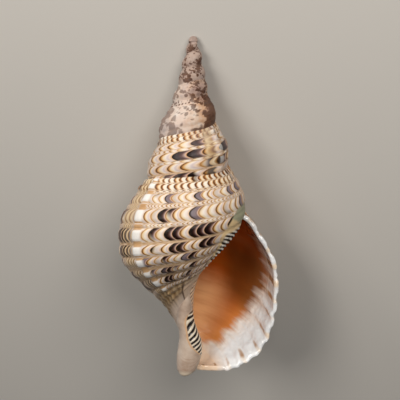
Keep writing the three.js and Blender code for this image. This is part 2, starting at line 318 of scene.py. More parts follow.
def flare(stage, across):
    """How far the outer lip turns outwards in its last few degrees."""
    fade = clamp(across / 0.1) * clamp((1 - across) / 0.2)
    middle, half_width = LOWER_FLARE_PLACE
    return lip_share(stage) * fade * (FLARE + LOWER_FLARE * bell(across - middle, half_width))


def flutes(stage, across):
    """Folds inside the lip, one below each wide cord."""
    below_cord = cord_height(across) / TALLEST_CORD - 0.5
    return FLUTE * np.exp(stage / FLUTE_DEPTH) * below_cord * rise(across, *FLUTE_LIMIT)


def scallop(stage, across):
    """How many turns the lip's edge runs ahead at each cord."""
    ahead = SCALLOP * (cord_height(across) / TALLEST_CORD - 0.4) + 1.2 * wave(across * 9, 0, 0, 3.4)
    return lip_share(stage) * ahead * clamp((1 - across) / 0.1) / (TURN * grown(WHORL_RADIUS, stage))


def wall_surface(stage, across, inner, thin):
    """Radius, depth and stage of the last whorl's wall. Thin goes to 0 where both sides of it meet."""
    r, d = plain_surface(stage, across)
    nr, nd = outward(stage, across)
    wall = WALL + (LIP_WALL - WALL) * lip_share(stage)
    middle = flare(stage, across) - wall / 2
    outer_height = wall / 2 + relief(stage, across)
    inner_height = -wall / 2 + flutes(stage, across)
    meet = (outer_height + inner_height) / 2
    height = middle + meet + (np.where(inner, inner_height, outer_height) - meet) * thin
    return r + nr * height, d + nd * height, stage + scallop(stage, across)


def place(stage, r, depth):
    """Places in the growth frame, from a stage, a radius and a depth."""
    azimuth = TURN * stage + LIP_AZIMUTH
    return np.stack([r * np.cos(azimuth), -depth, r * np.sin(azimuth)], -1)


def lay_down(points):
    """Places in the frame, in metres, from places in the growth frame."""
    turned = np.asarray(REST.to_3x3())
    return points * MM @ turned.T + np.asarray(REST.translation)


def deselect():
    if bpy.context.object and bpy.context.object.mode != "OBJECT":
        bpy.ops.object.mode_set(mode="OBJECT")
    bpy.ops.object.select_all(action="DESELECT")


def wrapped_grid(name, columns, rows, form):
    """A grid primitive wrapped onto a form, closed where its edges meet.

    The form takes the grid's two coordinates, from 0 to 1 along columns and rows, and gives the points,
    the two values of the piece's own map, and the material slot of each point.
    """
    deselect()
    bpy.ops.mesh.primitive_grid_add(x_subdivisions=columns, y_subdivisions=rows, size=2)
    piece = bpy.context.object
    piece.name = name
    mesh = piece.data
    flat = np.empty(len(mesh.vertices) * 3, np.float32)
    mesh.vertices.foreach_get("co", flat)
    grid = (flat.reshape(-1, 3)[:, :2].astype(float) + 1) / 2
    points, growth, slot = form(np.round(grid[:, 0], 6), np.round(grid[:, 1], 6))
    mesh.vertices.foreach_set("co", lay_down(points).astype(np.float32).ravel())
    corner = np.empty(len(mesh.loops), np.int32)
    mesh.loops.foreach_get("vertex_index", corner)
    while mesh.uv_layers:
        mesh.uv_layers.remove(mesh.uv_layers[0])
    mesh.uv_layers.new(name=UV_NAME).data.foreach_set("uv", growth[corner].astype(np.float32).ravel())
    slots = slot[corner].reshape(-1, 4).max(1)
    for material in shell_materials():
        mesh.materials.append(material)
    mesh.polygons.foreach_set("material_index", slots.astype(np.int32))
    close_up(piece)
    return piece


def close_up(piece):
    """Merges the points that meet, and turns the faces outwards."""
    bpy.context.view_layer.objects.active = piece
    piece.select_set(True)
    bpy.ops.object.mode_set(mode="EDIT")
    bpy.ops.mesh.select_all(action="SELECT")
    bpy.ops.mesh.remove_doubles(threshold=2e-6)
    bpy.ops.mesh.dissolve_degenerate(threshold=1e-7)
    bpy.ops.mesh.normals_make_consistent(inside=False)
    bpy.ops.object.mode_set(mode="OBJECT")


def keep_main_skin(mesh):
    """Deletes every island of faces but the largest, such as small closed pockets between the forms."""
    skin = bmesh.new()
    skin.from_mesh(mesh)
    left = set(skin.faces)
    islands = []
    while left:
        island, waiting = [], [left.pop()]
        while waiting:
            face = waiting.pop()
            island.append(face)
            for edge in face.edges:
                found = [other for other in edge.link_faces if other in left]
                left.difference_update(found)
                waiting += found
        islands.append(island)
    islands.sort(key=len)
    bmesh.ops.delete(skin, geom=[face for island in islands[:-1] for face in island], context="FACES")
    skin.to_mesh(mesh)
    skin.free()


OUTSIDE, MOUTH, PILLAR = range(3)


def last_whorl_form(settings):
    """The last whorl's wall: a loop across its outer and inner sides, wound once and closed at both ends."""
    columns, rows = settings.last_columns, settings.last_rows

    def form(along, round_it):
        column = along * columns
        body = columns - RIM_COLUMNS
        turn = LAST_START * (1 - np.minimum(column / body, 1) ** 0.9)
        past = np.maximum(column - body, 0) / RIM_COLUMNS * math.pi / 2
        reach = LIP_WALL / 2 / (TURN * WHORL_RADIUS[0])
        stage = turn + np.sin(past) * reach * RIM_ROUNDING / 2 - reach * RIM_ROUNDING / 2
        thin = np.where(column < 0.5, 0, np.cos(past))
        ring = np.round(round_it * (2 * rows + 1))
        inner = ring > rows + 0.5
        across = np.where(inner, 2 * rows + 1 - ring, ring) / rows
        across = np.where(round_it > 1 - EDGE, 0, across)
        inner = inner & (round_it < 1 - EDGE)
        r, d, placed = wall_surface(stage, across, inner, thin)
        r = r - np.where(inner, 0, GROOVE_DEPTH) * bell(across, GROOVE_WIDTH) * (thin > 0.9)
        growth = np.stack([stage + STAGE_SHIFT, across], -1)
        slot = np.where(inner | (column > body + 0.5), MOUTH, OUTSIDE)
        return place(placed, r, d), growth, slot

    return form, columns, 2 * rows + 1


def filled_form(start, end, rows):
    """A run of an early whorl, filled to its axis, with its ends closed to a point."""

    def form(along, round_it):
        stage = start + (end - start) * clamp((along - 0.005) / 0.99)
        ring = np.round(round_it * (rows + 3)) % (rows + 3)
        across = clamp((ring - 1) / rows) * COVER
        size = relative_size(stage)
        inset = np.where(along < 0.006, 0.4, 0) * size
        r, d = plain_surface(stage, across)
        nr, nd = outward(stage, across)
        height = relief(stage, across) - inset
        r, d = r + nr * height, d + nd * height
        r = r - GROOVE_DEPTH * size * bell(across, GROOVE_WIDTH)
        hub = (ring < 0.5) | (ring > rows + 1.5)
        r = np.where(hub, AXIS_GAP, r)
        pole = at_ends(along)
        middle_r, middle_d = plain_surface(stage, np.full_like(stage, COVER * 0.5))
        r = np.where(pole, middle_r * 0.5, r)
        d = np.where(pole, middle_d, d)
        growth = np.stack([stage + STAGE_SHIFT, across], -1)
        return place(stage, r, d), growth, np.full(len(stage), OUTSIDE)

    return form


def tip_form(along, round_it):
    """The blunt ball that the first whorls are worn down to."""
    polar = math.pi * along
    reach = TIP_RADIUS * np.where(at_ends(along), 0, np.sin(polar))
    reach = reach * (1 + 0.06 * wave(3 * along, np.sin(TURN * round_it), np.cos(TURN * round_it), 4.4))
    azimuth = TURN * round_it
    depth = TIP_RADIUS * (1 - np.cos(polar))
    points = np.stack([reach * np.cos(azimuth), -depth, reach * np.sin(azimuth)], -1)
    growth = np.stack([np.full_like(along, TIP_STAGE + STAGE_SHIFT), 0.4 * along + 0.3], -1)
    return points, growth, np.full(len(along), OUTSIDE)


def pillar_form(along, round_it):
    """The columella with its ridges, down to the tip of the tongue."""
    depths, *shapes = np.transpose(COLUMELLA)
    depth = depths[0] + (depths[-1] - depths[0]) * along
    x, z, half_width, half_height = [np.interp(depth, depths, shape) for shape in shapes]
    angle = TURN * round_it
    ridge = pillar_ridges(depth, angle)
    pole = at_ends(along)
    half_width = np.where(pole, 0, half_width + ridge)
    half_height = np.where(pole, 0, half_height + ridge)
    points = np.stack([x + half_width * np.cos(angle), -depth, z + half_height * np.sin(angle)], -1)
    growth = np.stack([round_it, depth / DEPTH_UNIT], -1)
    return points, growth, np.full(len(depth), PILLAR)


def pillar_ridges(depth, angle):
    """Height of the folds across the columella's edge, which face the mouth."""
    facing = np.where(angle > math.pi, angle - TURN, angle)
    reach = np.interp(depth, *np.transpose(FOLD_REACH))
    band = rise(facing, FOLD_INNER, 0.4) * fall(facing, reach, 0.25) * rise(reach, 0, 0.3)
    middle, half, less = FOLD_LEVEL
    slant = FOLD_SLANT - less * bell(depth - middle, half)
    return FOLD_HEIGHT * band * (0.5 + 0.5 * np.cos(TURN * (depth - slant * facing) / FOLD_PITCH) - 0.6)


class Wire:
    """A shader number that can be used in a Python expression, which adds its Math nodes."""

    def __init__(self, paint, socket):
        self.paint = paint
        self.socket = socket

    def __add__(self, other):
        return self.paint.math("ADD", self, other)

    __radd__ = __add__

    def __sub__(self, other):
        return self.paint.math("SUBTRACT", self, other)

    def __rsub__(self, other):
        return self.paint.math("SUBTRACT", other, self)

    def __mul__(self, other):
        return self.paint.math("MULTIPLY", self, other)

    __rmul__ = __mul__

    def __truediv__(self, other):
        return self.paint.math("DIVIDE", self, other)

    def __neg__(self):
        return self.paint.math("MULTIPLY", self, -1)


class Paint:
    """A material and the nodes that make it."""

    def __init__(self, name):
        self.material = bpy.data.materials.new(name)
        self.material.use_nodes = True
        self.tree = self.material.node_tree
        self.tree.nodes.clear()

    def node(self, kind, settings=None, **sockets):
        """A new node: its settings first, and then the values or links of its sockets."""
        made = self.tree.nodes.new("ShaderNode" + kind)
        for key, value in (settings or {}).items():
            if key == "stops":
                ramp_stops(made.color_ramp, value)
            else:
                setattr(made, key, value)
        for key, value in sockets.items():
            socket = made.inputs[int(key[1:])] if key[0] == "_" else made.inputs[key.replace("_", " ")]
            if isinstance(value, Wire):
                value = value.socket
            if isinstance(value, bpy.types.NodeSocket):
                self.tree.links.new(value, socket)
            else:
                socket.default_value = value
        return made

    def math(self, operation, *values):
        named = {f"_{k}": value for k, value in enumerate(values)}
        return Wire(self, self.node("Math", {"operation": operation}, **named).outputs[0])

    def ramp(self, value, stops, interpolation="LINEAR"):
        settings = {"stops": (interpolation, stops)}
        return self.node("ValToRGB", settings, Fac=value).outputs["Color"]

    def palette(self, value, stops):
        thousandths = np.array(stops) / 1000
        return self.ramp(value, [(at, tuple(colour)) for at, *colour in thousandths.tolist()])

    def parts(self, colour):
        made = self.node("SeparateColor", Color=colour)
        return [Wire(self, made.outputs[k]) for k in range(3)]

    def vector(self, x, y, z=0.0):
        return self.node("CombineXYZ", X=x, Y=y, Z=z).outputs[0]

    def noise(self, vector, scale, detail=3.0, roughness=0.55):
        made = self.node("TexNoise", Vector=vector, Scale=scale, Detail=detail, Roughness=roughness)
        return Wire(self, made.outputs["Fac"])

    def stretched(self, x, y, detail=3.0):
        """Noise over two numbers."""
        return self.noise(self.vector(x, y), 1.0, detail)

    def chance(self, x, y):
        """A random number from 0 to 1 for each pair of whole numbers."""
        made = self.node("TexWhiteNoise", {"noise_dimensions": "2D"}, Vector=self.vector(x, y))
        return Wire(self, made.outputs[0])

    def own_map(self):
        """The piece's own map, as two numbers."""
        made = self.node("SeparateXYZ", Vector=self.node("UVMap", {"uv_map": UV_NAME}).outputs[0])
        return Wire(self, made.outputs[0]), Wire(self, made.outputs[1])

    def place(self):
        return self.node("TexCoord").outputs["Object"]

    def bump(self, height, strength, distance):
        return self.node("Bump", Strength=strength, Distance=distance, Height=height).outputs[0]

    def finish(self, colour, roughness, normal, **plain):
        """The shader itself and the material's output."""
        shader = self.node("BsdfPrincipled", Base_Color=colour, Roughness=roughness, Normal=normal, **plain)
        self.node("OutputMaterial", Surface=shader.outputs[0])
        return self.material


def shader_math(operation):
    """A function that adds one Math node."""
    return lambda value, *others: value.paint.math(operation, value, *others)


floor, fract, absolute, most = [shader_math(name) for name in ("FLOOR", "FRACT", "ABSOLUTE", "MAXIMUM")]


def step(value, low, high):
    """0 below low and 1 above high, smooth between."""
    settings = {"interpolation_type": "SMOOTHSTEP"}
    made = value.paint.node("MapRange", settings, Value=value, From_Min=low, From_Max=high)
    return Wire(value.paint, made.outputs[0])


def mix(share, *colours):
    """A colour between two colours, each a socket or three numbers."""
    a, b = [(*colour, 1) if isinstance(colour, tuple) else colour for colour in colours]
    return share.paint.node("Mix", {"data_type": "RGBA"}, _0=share, _6=a, _7=b).outputs[2]


def near(value, middle, half):
    """1 at the middle, falling to 0 at a distance of half."""
    return 1 - step(absolute(value - middle), half * 0.4, half)


def ramp_stops(ramp, value):
    """Sets a ramp's interpolation and stops, each a place and a colour."""
    ramp.interpolation, stops = value
    while len(ramp.elements) > 1:
        ramp.elements.remove(ramp.elements[-1])
    for count, (at, colour) in enumerate(stops):
        element = ramp.elements[0] if count == 0 else ramp.elements.new(at)
        element.position = at
        element.color = (*colour, 1) if isinstance(colour, tuple) else (colour, colour, colour, 1)


# The rows of markings: start and end across the whorl, marks against the widest row, how dark they get,
# and how far ahead of the other rows their dark blotches come, in turns.
MARK_ROWS = [
    (0.0, 0.043, 1.0, 0.55, 0.03), (0.047, 0.091, 1.0, 0.5, 0.01), (0.092, 0.108, 1.6, 0.25, 0),
    (0.11, 0.178, 1.0, 0.66, 0.024), (0.18, 0.204, 1.7, 0.25, 0), (0.206, 0.295, 1.0, 0.72, 0.028),
    (0.296, 0.314, 1.7, 0.25, 0), (0.316, 0.402, 1.0, 0.98, 0), (0.413, 0.482, 1.0, 0.98, -0.008),
    (0.488, 0.545, 1.1, 0.72, 0.02), (0.565, 0.614, 1.1, 0.78, 0.012), (0.631, 0.69, 1.1, 0.9, 0.024),
    (0.7, 0.74, 1.2, 0.6, 0.01), (0.75, 0.79, 1.2, 0.3, 0),
]
MOST_ROWS = 20
TOP_RATE = 2
LEAD_SHIFT = 0.05
MARKS_AT_LIP = 100
MARK_GROWTH = 3.2
MARK_TRAIL = 0.85
BEADS_AT_LIP = 150
BEAD_GROWTH = 1.5
BEADS_END = (0.1, 0.106)
ROW_OFFSET = 0.37
MARK_WOBBLE = 1.6
BEAD_STEADIER = 0.9

# Where dark blotches come in a turn, how far each reaches and how sure it is, and how they drift across.
BLOTCHES = [
    (0.032, 0.024, 1.0), (0.09, 0.034, 1.0), (0.189, 0.035, 1.0), (0.262, 0.033, 1.0), (0.318, 0.02, 0.62),
    (0.43, 0.03, 1.0), (0.54, 0.03, 1.0), (0.66, 0.03, 1.0), (0.79, 0.03, 1.0), (0.91, 0.028, 1.0),
]
BLOTCH_SHIFT = -0.05
BLOTCH_LUCK = 0.7
BLOTCH_LEVEL = 1.32

# Old lips as shares of the way from one to the next: the white block, and the crowded bars, each as
# its middle and half width.
OLD_LIP = (0.509, 0.026)
CROWD = (0.433, 0.055)
CROWDED_BARS = 0.9

# The base across the whorl: where the rows end, and where the neck starts. The callus starts at a stage.
BASE_EDGE = (0.7, 0.75)
NECK_EDGE = (0.79, 0.9)
CALLUS_EDGE = (0.74, 0.78)
CALLUS_START = 0.705
BASE_RIDGES = 26
RIDGE_SLANT = 3

# The glaze and the small teeth on the whorl just inside the mouth.
GLAZE_START = (0.867, 0.879)
GLAZE_ROWS = ((0.26, 0.3), (0.72, 0.76))
TEETH_START = (0.862, 0.875)
TEETH_TOP = (0.42, 0.44)
TOOTH_SLANT = 1.0
TOOTH_PITCH = 0.028

# Wear: how many turns back it starts, and where the spire turns grey. Brown spots, and specks below the
# suture, are given as how many in a turn and across a whorl.
WORN_START = (2.35, 2.75)
GREY_START = (3.3, 4.4)
WORN_SPOTS = (26, 10)
WORN_BEADS = (34, 24)
SPECKS_END = (0.08, 0.085)

# Palettes: each stop's place and its red, green and blue, in thousandths. First come the colours along a
# mark, from the edge that points the way that the shell grew.
LIGHT_MARK = [
    (0, 40, 16, 6), (70, 100, 40, 10), (140, 420, 180, 40), (230, 700, 430, 180), (350, 840, 690, 500),
    (520, 850, 750, 680), (680, 660, 560, 570), (840, 820, 650, 520), (1000, 640, 370, 170),
]
FAINT_MARK = [
    (0, 340, 150, 40), (100, 540, 290, 100), (240, 840, 660, 420), (550, 880, 800, 720),
    (800, 800, 680, 620), (1000, 700, 460, 260),
]
DEEP_MARK = [
    (0, 6, 2, 1), (440, 12, 4, 3), (580, 50, 18, 12), (700, 120, 60, 50), (820, 340, 240, 230),
    (920, 680, 460, 320), (1000, 420, 180, 50),
]
BEAD = [
    (0, 70, 22, 8), (160, 160, 50, 15), (320, 500, 220, 60), (500, 850, 660, 420), (720, 900, 800, 680),
    (900, 780, 500, 240), (1000, 400, 170, 50),
]

# Colours between the rows, of crowded bars, of the base, of teeth and of worn shell.
BETWEEN_ROWS = [
    (250, 150, 70, 30), (400, 420, 240, 110), (520, 700, 490, 310), (720, 840, 680, 530),
]
DARK_BARS = [
    (0, 8, 3, 2), (420, 30, 10, 6), (520, 460, 220, 60), (680, 880, 740, 520), (900, 740, 500, 260),
    (1000, 8, 3, 2),
]
GOLD_BARS = [
    (0, 220, 90, 25), (200, 500, 280, 100), (500, 860, 700, 460), (800, 800, 620, 400), (1000, 220, 90, 25),
]
OLIVE_BASE = [
    (300, 100, 50, 20), (450, 260, 160, 70), (580, 400, 280, 150), (750, 680, 550, 400),
]
WHORL_TEETH = [
    (200, 8, 4, 3), (360, 80, 40, 20), (500, 800, 660, 480), (800, 1000, 970, 900),
]
WORN_SHELL = [
    (360, 240, 130, 100), (430, 460, 290, 220), (490, 660, 400, 250), (540, 740, 550, 420),
    (620, 900, 840, 780),
]
PILLAR_TEETH = [
    (360, 8, 4, 3), (500, 50, 25, 12), (620, 660, 520, 360), (1000, 900, 820, 680),
]
PILLAR_LINES = [
    (0, 30, 14, 8), (140, 120, 60, 30), (300, 660, 420, 260), (1000, 800, 560, 380),
]
PILLAR_SKIN = [
    (300, 400, 280, 210), (500, 560, 430, 340), (750, 720, 600, 500),
]

# How far in from the lip, in turns, the white of the mouth reaches across the whorl.
LIP_REACH = [
    (0.08, 0.045), (0.16, 0.07), (0.22, 0.075), (0.28, 0.06), (0.34, 0.045), (0.4, 0.06), (0.46, 0.068),
    (0.52, 0.08), (0.58, 0.086), (0.63, 0.1), (0.67, 0.098), (0.71, 0.118), (0.76, 0.11), (0.8, 0.125),
    (0.84, 0.17), (1.0, 0.2),
]
FLUTES = 13
FLUTE_START = 0.19


def row_ramps(paint, across):
    """Where in its row a point lies, from -1 to 1, and the row's number, rate, darkness and lead."""
    saw, kinds, leads = [], [], []
    for count, (start, end, rate, dark, lead) in enumerate(MARK_ROWS):
        number, share = count / MOST_ROWS, rate / TOP_RATE
        saw += [(start, 0.0), (end, 1.0)]
        kinds += [(start, (number, share, dark)), (end, (number, share, 0.0))]
        leads.append((start, lead + LEAD_SHIFT))
    inside = Wire(paint, paint.ramp(across, saw)) * 2 - 1
    number, share, dark = paint.parts(paint.ramp(across, kinds, "CONSTANT"))
    lead = Wire(paint, paint.ramp(across, leads, "CONSTANT")) - LEAD_SHIFT
    return inside, number * MOST_ROWS, share * TOP_RATE, dark, lead


def blotch_stops():
    """The ramp round one turn that peaks where each dark blotch comes."""
    stops = []
    for at, half, sure in BLOTCHES:
        stops += [(at - half, 0.0), (at, sure), (at + half, 0.0)]
    return stops


def outside_material():
    """The outside: rows of scale-like marks on cords, old lips in white blocks, and a worn spire."""
    paint = Paint("marked shell")
    u, across = paint.own_map()
    stage = u - STAGE_SHIFT
    back = -stage
    inside, row, rate, dark, lead = row_ramps(paint, across)
    off_middle = absolute(inside)
    in_row = step(dark, 0.05, 0.06) * (1 - step(off_middle, 0.8, 1.0))
    place = paint.place()
    patches = paint.noise(place, 26.0, 4.0, 0.6)
    fine = paint.noise(place, 160.0, 4.0, 0.6)
    streak = paint.stretched(stage * 50, across * 380)
    worn = step(back + patches * 0.8, *WORN_START)
    here = 1 - worn

    # Marks and beads, counted back from the lip. Each is a scale whose convex edge points the way of growth.
    top = 1 - step(across, *BEADS_END)
    below = 1 - top
    marks = paint.math("POWER", MARK_GROWTH, stage) * rate * MARKS_AT_LIP
    beads = paint.math("POWER", BEAD_GROWTH, stage) * BEADS_AT_LIP
    counted = marks * below + beads * top
    wobble = paint.stretched(counted * 0.23, row * 3.7, 2.0) - 0.5
    trail = inside * inside * MARK_TRAIL * (1 - step(back, 0.95, 1.2) * 0.45) * (1 - top * 0.5)
    phase = counted + row * ROW_OFFSET + wobble * (MARK_WOBBLE - top * BEAD_STEADIER) + trail
    along = fract(-phase)
    mark = floor(-phase)
    luck = paint.chance(mark, row)
    other_luck = paint.chance(mark + 31, row + 7)

    # Dark blotches come every few marks, in step from row to row. Each mark is dark or light as a whole.
    in_a_turn = marks * below * math.log(MARK_GROWTH) + beads * top * math.log(BEAD_GROWTH)
    centre = stage + (along - 0.5 + trail) / in_a_turn
    turned = fract(centre + across * BLOTCH_SHIFT + 10 - lead)
    nearby = Wire(paint, paint.ramp(turned, blotch_stops()))
    blotch = step(nearby + (luck - 0.5) * BLOTCH_LUCK + dark - BLOTCH_LEVEL, 0.0, 0.1)
    light, faint = paint.palette(along, LIGHT_MARK), paint.palette(along, FAINT_MARK)
    scale = mix(step(other_luck, 0.45, 0.55), light, faint)
    lilac = step(other_luck, 0.72, 0.74) * near(along, 0.45, 0.4) * (1 - blotch)
    scale = mix(lilac * 0.4, scale, (0.32, 0.24, 0.27))
    dusky = step(luck, 0.5, 0.55) * near(along, 0.45, 0.36) * (1 - step(dark, 0.75, 0.8)) * below
    dusky = dusky * (1 - step(back, 0.95, 1.1) * 0.8)
    scale = mix(blotch, scale, mix(dusky * 0.6, paint.palette(along, DEEP_MARK), (0.36, 0.29, 0.33)))
    whiter = step(luck, 0.5, 0.56) * step(along, 0.3, 0.45)
    bead = mix(whiter * 0.7, paint.palette(along, BEAD), (0.93, 0.88, 0.8))
    scale = mix(top * (1 - blotch * 0.6), scale, bead)

    # Between the rows: tan and peach, with fine lines that run on from the marks, and painted shade lower
    # down.
    between = mix(blotch * 0.4, paint.palette(streak, BETWEEN_ROWS), (0.08, 0.035, 0.02))
    # Painted shade: the ground between the rows darkens on the whorl's lower half.
    between = mix(step(across, 0.5, 0.68) * 0.6, between, (0.12, 0.07, 0.035))
    colour = mix(in_row, between, scale)

    # Old lips: white blocks on the cords and tan ones between, with crowded dark bars ahead of them.
    share = fract((stage + VARIX_SHIFT) / -VARIX_SPACING + 0.5)
    white = near(share + (patches - 0.5) * 0.02, *OLD_LIP) * here
    wide = (1 - step(off_middle, 0.6, 0.82)) * step(dark, 0.3, 0.4)
    block = mix(wide, mix(fine, (0.5, 0.24, 0.08), (0.74, 0.5, 0.28)), (0.95, 0.94, 0.92))
    bars = fract(phase * CROWDED_BARS)
    bars = mix(step(dark, 0.75, 0.85), paint.palette(bars, GOLD_BARS), paint.palette(bars, DARK_BARS))
    colour = mix(near(share, *CROWD) * here * in_row * 0.85, colour, bars)
    colour = mix(white * (0.92 - 0.5 * step(back, 1.0, 1.1)), colour, block)

    # The base below the rows: olive and tan, with a painted cream highlight on the ridge crests, a pale
    # neck, and a callus beside the mouth.
    base = step(across + (patches - 0.5) * 0.05, *BASE_EDGE)
    # The ridge term paints a cream highlight on each ridge crest; streaks and patches are the base's own
    # olive and tan.
    ridge = paint.math("COSINE", stage * (TURN * BASE_RIDGES) + across * RIDGE_SLANT) * 0.5 + 0.5
    olive = paint.palette(ridge * 0.2 + streak * 0.4 + patches * 0.2 + fine * 0.2, OLIVE_BASE)
    colour = mix(base * 0.85, colour, olive)
    neck = step(across + (patches - 0.5) * 0.08, *NECK_EDGE)
    colour = mix(neck * 0.85, colour, mix(patches, (0.5, 0.38, 0.3), (0.78, 0.66, 0.58)))
    edge = back - CALLUS_START - most(0.83 - across, 0.0) * 0.3 + (patches - 0.5) * 0.02
    callus = step(across, *CALLUS_EDGE) * (1 - step(back, 1.0, 1.05))
    colour = mix(step(edge, 0.0, 0.012) * callus * 0.8, colour, (0.66, 0.49, 0.36))
    colour = mix(near(edge, 0.0, 0.011) * callus * 0.8, colour, (0.08, 0.04, 0.025))

    # The glaze and the teeth on the whorl just inside the mouth.
    past = step(across, 0.38, 0.43) * 0.018 - stage - most(0.37 - across, 0.0) * 0.45
    glaze = step(past + (patches - 0.5) * 0.02, *GLAZE_START) * step(across, *GLAZE_ROWS[0])
    glaze = glaze * (1 - step(across, *GLAZE_ROWS[1])) * here * step(stage, -1.02, -1.0)
    tooth = paint.math("COSINE", (across + stage * TOOTH_SLANT) * (TURN / TOOTH_PITCH)) * 0.5 + 0.5
    golden = step(across + (0.9 + stage) * 1.2 + (fine - 0.5) * 0.06, 0.335, 0.37)
    glazed = mix(golden, (0.34, 0.34, 0.23), (0.84, 0.62, 0.34))
    teeth = step(back, *TEETH_START) * step(across, *TEETH_TOP)
    colour = mix(glaze, colour, mix(teeth * glaze, glazed, paint.palette(tooth, WHORL_TEETH)))

    # Wear: on the spire the lines fade, and brown blots are left on peach, white and mauve.
    grey = step(back, *GREY_START)
    bare = paint.palette(patches * 0.75 + fine * 0.25, WORN_SHELL)
    bare = mix(grey * 0.75, bare, mix(fine, (0.3, 0.23, 0.21), (0.56, 0.47, 0.44)))
    bare = paint.node("Mix", {"data_type": "RGBA"}, _0=0.12, _6=bare, _7=(0.16, 0.09, 0.07, 1)).outputs[2]
    where = paint.vector(stage * WORN_SPOTS[0] + row * 0.5, across * WORN_SPOTS[1])
    spot = Wire(paint, paint.node("TexVoronoi", Vector=where, Scale=1.0).outputs["Distance"])
    blots = paint.noise(paint.vector(stage * 5, across * 2.5, 3.0), 1.0, 2.0)
    blot = step(blots * 2.4 - spot * 0.9 + (fine - 0.5) * 0.5 - grey * 0.1, 0.62, 0.78)
    left = near(fract(stage + 10 + (patches - 0.5) * 0.2), 0.42, 0.24) * (1 - grey)
    bare = mix(left * 0.5, bare, (0.84, 0.79, 0.77))
    blot = blot * (1 - left * 0.35) * 0.92
    bare = mix(blot, bare, mix(spot, (0.04, 0.012, 0.006), (0.15, 0.055, 0.025)))
    line = across * WORN_BEADS[1]
    speck = stage * WORN_BEADS[0] + 0.5 * floor(line)
    specks = near(fract(speck), 0.5, 0.42) * near(fract(line), 0.5, 0.5)
    specks = specks * paint.chance(floor(speck), floor(line)) * (1 - step(across, *SPECKS_END))
    bare = mix(step(specks, 0.25, 0.4) * (1 - grey) * 0.85, bare, (0.085, 0.028, 0.014))
    colour = mix(worn * 0.95, colour, bare)
    dulled = step(patches, 0.45, 0.62) * step(back, 1.05, 1.35) * (1 - in_row * 0.3) * (1 - worn * 0.8)
    colour = mix(dulled * 0.35, colour, (0.45, 0.33, 0.31))
    colour = mix(step(fine, 0.55, 0.75) * 0.12, colour, (0.3, 0.18, 0.09))

    lines = paint.stretched(stage * 420, across * 9, 2.0)
    roughness = 0.34 + fine * 0.2 + worn * 0.2
    normal = paint.bump(lines * 0.5 + fine * 0.4 + along * in_row * 0.25, 0.35, 0.0006)
    gloss = {"Coat_Weight": 0.05, "Coat_Roughness": 0.15, "Specular_IOR_Level": 0.18}
    return paint.finish(colour, roughness, normal, **gloss)


def mouth_material():
    """Inside the mouth: glossy white along the lip, orange deeper in, and a painted shade of dark brown
    where the cavity is deepest.
    """
    paint = Paint("glazed mouth")
    u, across = paint.own_map()
    back = -(u - STAGE_SHIFT)
    place = paint.place()
    soft = paint.noise(place, 24.0, 3.0) - 0.5
    fine = paint.noise(place, 120.0, 3.0)
    streaks = paint.noise(paint.vector(across * 26, (u - STAGE_SHIFT) * 5, 0.0), 1.0, 3.0)
    edge = back + soft * 0.06 + (streaks - 0.5) * 0.09 - Wire(paint, paint.ramp(across, LIP_REACH))
    inward = step(edge, -0.02, 0.025)

    # Orange and brown, deeper in: partly the mouth's own colour, partly painted shade of the cavity.
    deep_tone_and_shade = step(back + soft * 0.1 + (0.6 - across) * 0.25, 0.02, 0.2)
    orange = mix(deep_tone_and_shade, (0.95, 0.4, 0.12), (0.5, 0.095, 0.008))
    pale = step(back, 0.12, 0.22) * step(across + soft * 0.1, 0.42, 0.6)
    orange = mix(pale * 0.9, orange, (0.96, 0.5, 0.23))
    orange = mix(step(streaks, 0.42, 0.66) * 0.3, orange, (0.5, 0.13, 0.02))
    # Painted shade: a dark brown patch where the cavity lies deepest in shadow.
    shade = near(back + soft * 0.04, 0.115, 0.09) * near(across + soft * 0.08, 0.43, 0.21)
    orange = mix(shade * 0.7, orange, (0.1, 0.035, 0.008))

    # White along the lip, with tan blots at its edge.
    flute = paint.math("COSINE", (across - FLUTE_START) * (TURN * FLUTES))
    warm = step(flute * 0.4 + soft * 1.4, 0.15, 0.6)
    pearl = mix(warm, (0.95, 0.97, 1.0), (0.93, 0.77, 0.6))
    pearl = mix(step(edge, -0.06, 0.0) * 0.4, pearl, (0.9, 0.6, 0.36))
    pearl = mix(step(across, 0.78, 0.92) * 0.8, pearl, (0.92, 0.62, 0.38))
    tan = near(back, 0.024, 0.02) * step(flute * 0.6 + soft * 1.4, 0.3, 0.6)
    pearl = mix(tan * 0.85, pearl, (0.4, 0.19, 0.07))

    roughness = 0.12 + fine * 0.08
    normal = paint.bump(paint.noise(place, 70.0, 2.0) * (1 - inward * 0.8), 0.9, 0.004)
    colour = mix(inward, pearl, orange)
    return paint.finish(colour, roughness, normal, Coat_Weight=0.8, Coat_Roughness=0.04)


